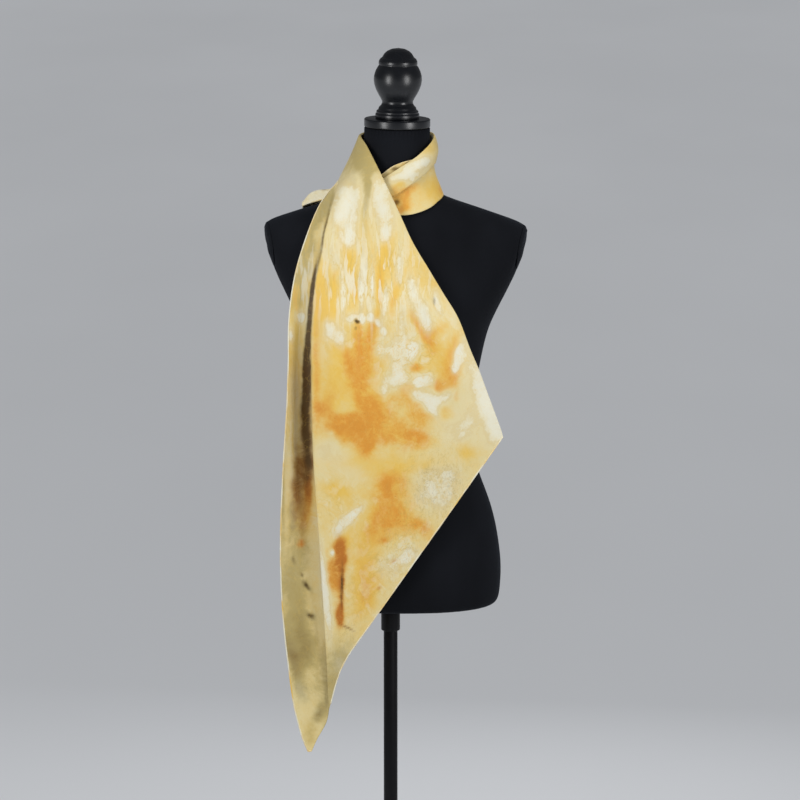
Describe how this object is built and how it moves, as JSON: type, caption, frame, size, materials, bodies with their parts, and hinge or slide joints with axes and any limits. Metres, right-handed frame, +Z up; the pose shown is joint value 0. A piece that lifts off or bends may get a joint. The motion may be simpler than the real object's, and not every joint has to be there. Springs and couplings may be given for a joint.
{
  "type": "silk square scarf on dress form",
  "caption": "Hand-dyed silk square wound round the neck of a limbless velvet dress form, with a long pointed fall in front, on a pole and round base.",
  "frame": {"origin": "on the floor, at the middle of the underside of the round base, on the axis of the pole", "axes": "+Z is up, the front of the dress form faces -Y, +X is to the right as seen from the front"},
  "size_m": [0.3926, 0.33, 1.6311],
  "materials": {
    "silk": "hand-dyed silk with a soft satin sheen, cream, yellow, gold and orange",
    "velvet": "matt black velvet",
    "lacquer": "satin black lacquer on turned wood",
    "steel": "satin black powder coat"
  },
  "bodies": {
    "root": {"front_panel": "silk", "edge_return": "silk", "side_fold": "silk", "neck_band": "silk", "neck_roll": "silk", "inner_turn": "silk", "shoulder_tail": "silk", "form_body": "velvet", "arm_plate_right": "velvet", "arm_plate_left": "velvet", "neck_cap": "lacquer", "finial": "lacquer", "form_socket": "steel", "stand_pole": "steel", "stand_base": "steel"}
  },
  "joints": []
}
